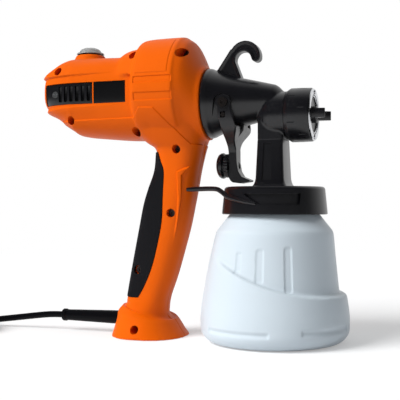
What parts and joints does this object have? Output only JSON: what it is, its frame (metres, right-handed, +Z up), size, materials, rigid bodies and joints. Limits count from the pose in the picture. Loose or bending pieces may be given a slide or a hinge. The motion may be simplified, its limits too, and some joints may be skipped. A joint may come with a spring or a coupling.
{
  "type": "handheld paint sprayer",
  "caption": "Corded turbine paint sprayer: orange motor housing on a leaning handle, twist-off black spray head with trigger and horned air cap, and a milky screw-on bottle",
  "frame": {"origin": "centre of the bottle's base, on the floor", "axes": "+X along the spray, +Y to the user's left, +Z up along the bottle's axis"},
  "size_m": [0.4608, 0.178, 0.2705],
  "materials": {
    "orange_shell": "satin moulded shell",
    "soft_grip": "soft matt grip",
    "black_plastic": "semi-gloss moulding",
    "label_black": "plain plate",
    "filter_foam": "open foam",
    "steel": "plain steel",
    "bright_alloy": "bright",
    "laminations": "stacked laminations",
    "copper": "lacquered copper",
    "phenolic": "phenolic board",
    "brass": "machined",
    "carbon": "carbon",
    "grey_plastic": "moulded",
    "fan_nylon": "moulded nylon",
    "red_plastic": "moulded",
    "clear_boot": "clear soft boot",
    "seal_rubber": "seal",
    "pale_gasket": "gasket",
    "tube_plastic": "tube",
    "milky_bottle": "milky translucent",
    "cord_black": "flexible sheath"
  },
  "bodies": {
    "gun_body": {"body_shell_right": "orange_shell", "body_shell_left": "orange_shell", "grip_insert": "soft_grip", "vent_cover_right": "black_plastic", "vent_cover_left": "black_plastic", "vent_filters": "filter_foam", "vent_screws": "steel", "label_plates": "label_black", "case_screws": "steel", "motor_stator": "laminations", "field_coils": "copper", "brush_plate": "phenolic", "brush_holders": "brass", "carbon_brushes": "carbon", "rear_bearing": "steel", "front_bearing": "steel", "fan_plate": "grey_plastic", "switch_housing": "black_plastic", "switch_boot": "clear_boot", "neck_ring": "black_plastic", "strain_relief": "cord_black", "power_cord": "cord_black", "cord_coil": "cord_black", "cord_tie": "grey_plastic", "plug_lead": "cord_black", "plug_body": "cord_black", "plug_pins": "brass"},
    "rotor": {"motor_shaft": "steel", "armature": "copper", "commutator": "copper", "impeller": "fan_nylon", "impeller_nut": "steel"},
    "rocker": {"switch_rocker": "red_plastic"},
    "spray_head": {"head_barrel": "black_plastic", "neck_seal": "seal_rubber", "column_gasket": "seal_rubber", "cup_lid": "black_plastic", "lid_gasket": "pale_gasket", "pivot_screws": "steel", "needle_spring": "steel", "packing_nut": "brass", "fluid_tip": "brass"},
    "trigger": {"trigger": "black_plastic"},
    "flow_knob": {"flow_knob": "black_plastic"},
    "needle": {"fluid_needle": "steel", "needle_yoke": "brass", "cross_pin": "steel"},
    "air_cap": {"air_cap": "black_plastic", "face_ring": "bright_alloy", "face_screws": "steel"},
    "nozzle_nut": {"nozzle_nut": "black_plastic"},
    "bottle": {"bottle": "milky_bottle"},
    "pickup": {"pickup_tube": "tube_plastic"}
  },
  "joints": [
    {"name": "head_twist", "type": "hinge", "parent": "gun_body", "child": "spray_head", "pos_m": [-0.06, 0, 0.21], "axis": [1, 0, 0], "range_deg": [-40, 0]},
    {"name": "trigger_pull", "type": "hinge", "parent": "spray_head", "child": "trigger", "pos_m": [-0.039, 0, 0.2075], "axis": [0, 1, 0], "range_deg": [0, 12], "stiffness_Nm_per_rad": 1.2, "springref_deg": -8.59},
    {"name": "needle_slide", "type": "slide", "parent": "spray_head", "child": "needle", "axis": [-1, 0, 0], "range_m": [0, 0.0023], "deforming": ["needle_spring"]},
    {"name": "flow_knob_turn", "type": "hinge", "parent": "trigger", "child": "flow_knob", "pos_m": [-0.0454, 0, 0.154], "axis": [1, 0, 0], "range_deg": [0, 330]},
    {"name": "air_cap_turn", "type": "hinge", "parent": "spray_head", "child": "air_cap", "pos_m": [0.033, 0, 0.197], "axis": [1, 0, 0], "range_deg": [0, 90]},
    {"name": "nozzle_nut_turn", "type": "hinge", "parent": "spray_head", "child": "nozzle_nut", "pos_m": [0.0233, 0, 0.197], "axis": [1, 0, 0], "range_deg": [0, 360]},
    {"name": "bottle_unscrew", "type": "hinge", "parent": "spray_head", "child": "bottle", "pos_m": [0, 0, 0.06], "axis": [0, 0, -1], "range_deg": [0, 180]},
    {"name": "pickup_swivel", "type": "hinge", "parent": "spray_head", "child": "pickup", "pos_m": [0, 0, 0.1], "axis": [0, 0, 1], "range_deg": [0, 180]},
    {"name": "rocker_tip", "type": "hinge", "parent": "gun_body", "child": "rocker", "pos_m": [-0.1785, 0, 0.25886], "axis": [0, 1, 0], "range_deg": [0, 16]},
    {"name": "rotor_spin", "type": "hinge", "parent": "gun_body", "child": "rotor", "pos_m": [-0.15, 0, 0.223], "axis": [1, 0, 0], "continuous": true}
  ],
  "couplings": [
    {"joint": "needle_slide", "follows": "trigger_pull", "m_per_rad": 0.0105}
  ]
}
